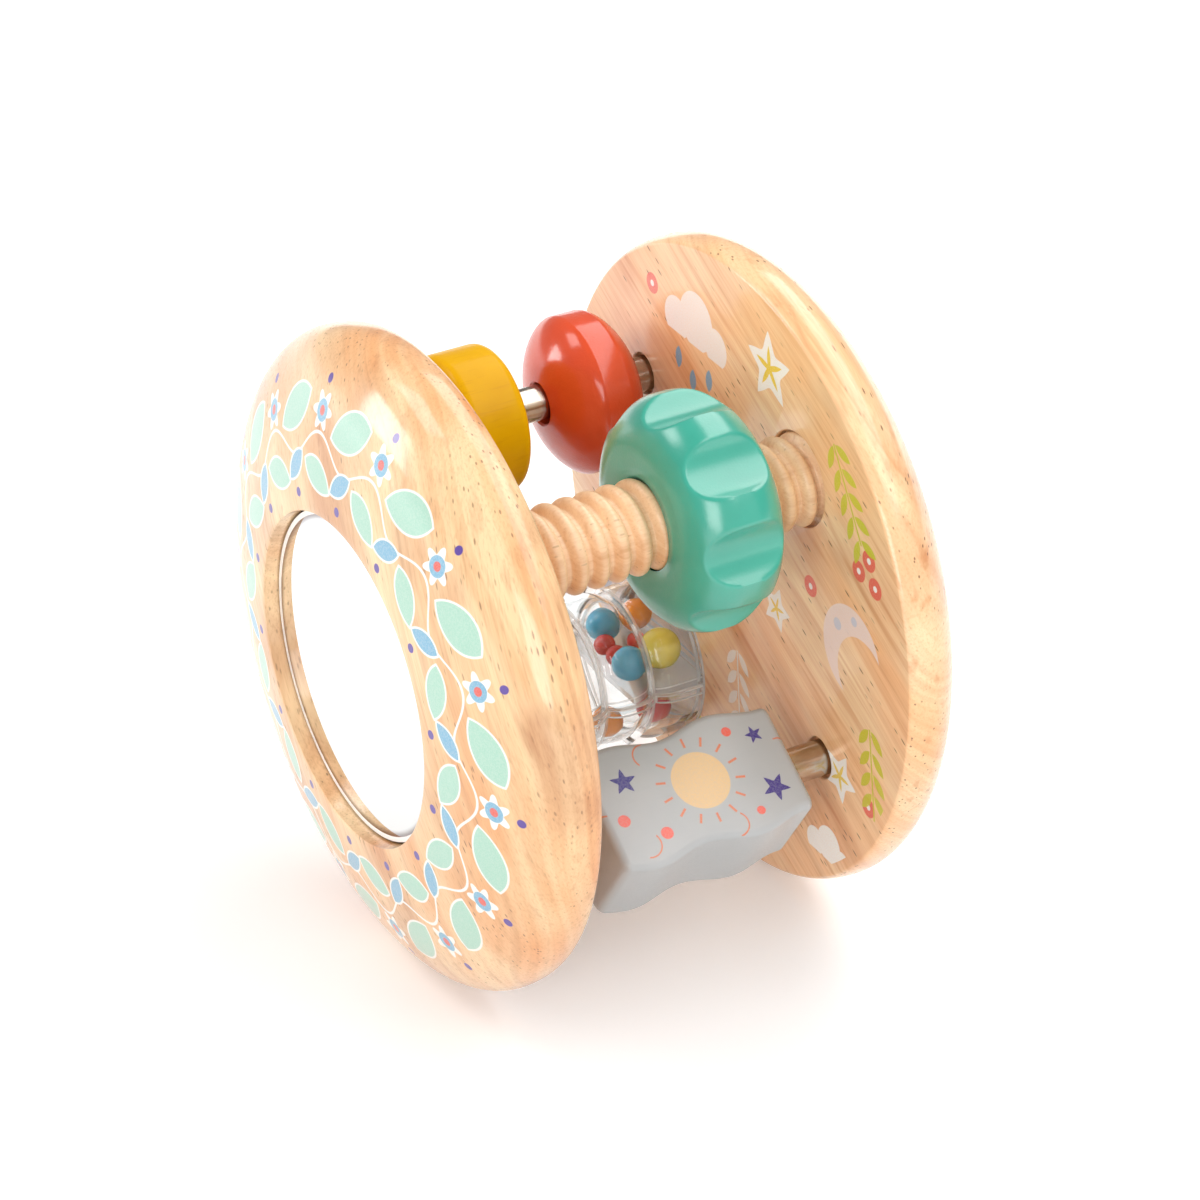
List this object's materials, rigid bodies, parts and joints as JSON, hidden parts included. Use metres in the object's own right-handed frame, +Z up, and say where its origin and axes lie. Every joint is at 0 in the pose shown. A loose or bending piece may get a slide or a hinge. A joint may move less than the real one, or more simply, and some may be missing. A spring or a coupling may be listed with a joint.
{
  "type": "rolling rattle toy",
  "caption": "Wooden rolling rattle: domed discs joined by a wooden screw with a travelling nut, steel rods with sliding beads and a spinning block, and a clear rattle capsule.",
  "frame": {"origin": "on the floor, under the middle of the rolling axis between the two discs", "axes": "+X along the rolling axis from the mirror disc to the plain disc, +Z up; +Y is horizontal, towards the side with the bead rod and the capsule"},
  "size_m": [0.0967, 0.12, 0.12],
  "materials": {
    "natural_wood": "clear satin lacquer over straight-grained hardwood",
    "screw_wood": "clear satin lacquer, turned and threaded",
    "mint_paint": "satin mint paint on wood",
    "yellow_paint": "satin yellow paint on wood",
    "red_paint": "satin orange-red paint on wood",
    "pale_grey_paint": "satin pale grey-white paint on wood, printed",
    "rod_steel": "ground bright steel",
    "mirror_acrylic": "mirrored acrylic sheet",
    "adhesive_foam": "double-sided adhesive foam",
    "clear_plastic": "clear moulded plastic",
    "ball_yellow_plastic": "glossy yellow",
    "ball_blue_plastic": "glossy blue",
    "ball_orange_plastic": "glossy orange",
    "ball_red_plastic": "glossy red"
  },
  "bodies": {
    "frame": {"left_disc": "natural_wood", "right_disc": "natural_wood", "mirror": "mirror_acrylic", "mirror_adhesive": "adhesive_foam", "screw": "screw_wood"},
    "nut_ring": {"nut_guide_ring": "screw_wood"},
    "nut": {"nut": "mint_paint"},
    "bead_rod": {"bead_rod": "rod_steel"},
    "yellow_bead": {"yellow_bead": "yellow_paint"},
    "red_bead": {"red_bead": "red_paint"},
    "block_rod": {"block_rod": "rod_steel"},
    "block": {"block": "pale_grey_paint"},
    "capsule": {"capsule_upper_shell": "clear_plastic", "capsule_lower_shell": "clear_plastic", "capsule_shelf": "clear_plastic"},
    "balls_upper": {"ball_yellow": "ball_yellow_plastic", "ball_blue_front": "ball_blue_plastic", "ball_blue_rear": "ball_blue_plastic", "ball_orange_top": "ball_orange_plastic", "ball_red_small_front": "ball_red_plastic", "ball_red_small_middle": "ball_red_plastic", "ball_red_small_rear": "ball_red_plastic"},
    "balls_lower": {"ball_red_bottom": "ball_red_plastic", "ball_orange_bottom": "ball_orange_plastic"}
  },
  "joints": [
    {"name": "bead_rod_spin", "type": "hinge", "parent": "frame", "child": "bead_rod", "pos_m": [0, 0.03126, 0.08399], "axis": [1, 0, 0], "continuous": true},
    {"name": "yellow_bead_slide", "type": "slide", "parent": "bead_rod", "child": "yellow_bead", "axis": [1, 0, 0], "range_m": [-0.0149, 0.0028]},
    {"name": "red_bead_slide", "type": "slide", "parent": "bead_rod", "child": "red_bead", "axis": [1, 0, 0], "range_m": [-0.0026, 0.0032]},
    {"name": "block_rod_spin", "type": "hinge", "parent": "frame", "child": "block_rod", "pos_m": [0, -0.03126, 0.03601], "axis": [1, 0, 0], "continuous": true},
    {"name": "block_slide", "type": "slide", "parent": "block_rod", "child": "block", "axis": [1, 0, 0], "range_m": [-0.0114, 0.0092]},
    {"name": "nut_travel", "type": "slide", "parent": "frame", "child": "nut_ring", "axis": [1, 0, 0], "range_m": [-0.0285, 0.0115]},
    {"name": "nut_spin", "type": "hinge", "parent": "nut_ring", "child": "nut", "pos_m": [0, -0.02192, 0.08856], "axis": [1, 0, 0], "range_deg": [-2490, 1000]},
    {"name": "capsule_spin", "type": "hinge", "parent": "frame", "child": "capsule", "pos_m": [0, 0.02398, 0.02874], "axis": [1, 0, 0], "continuous": true},
    {"name": "balls_upper_slide", "type": "slide", "parent": "capsule", "child": "balls_upper", "axis": [1, 0, 0], "range_m": [-0.0015, 0.0012]},
    {"name": "balls_lower_slide", "type": "slide", "parent": "capsule", "child": "balls_lower", "axis": [1, 0, 0], "range_m": [-0.0012, 0.0012]}
  ],
  "couplings": [
    {"joint": "nut_travel", "follows": "nut_spin", "m_per_rad": 0.00065253}
  ]
}
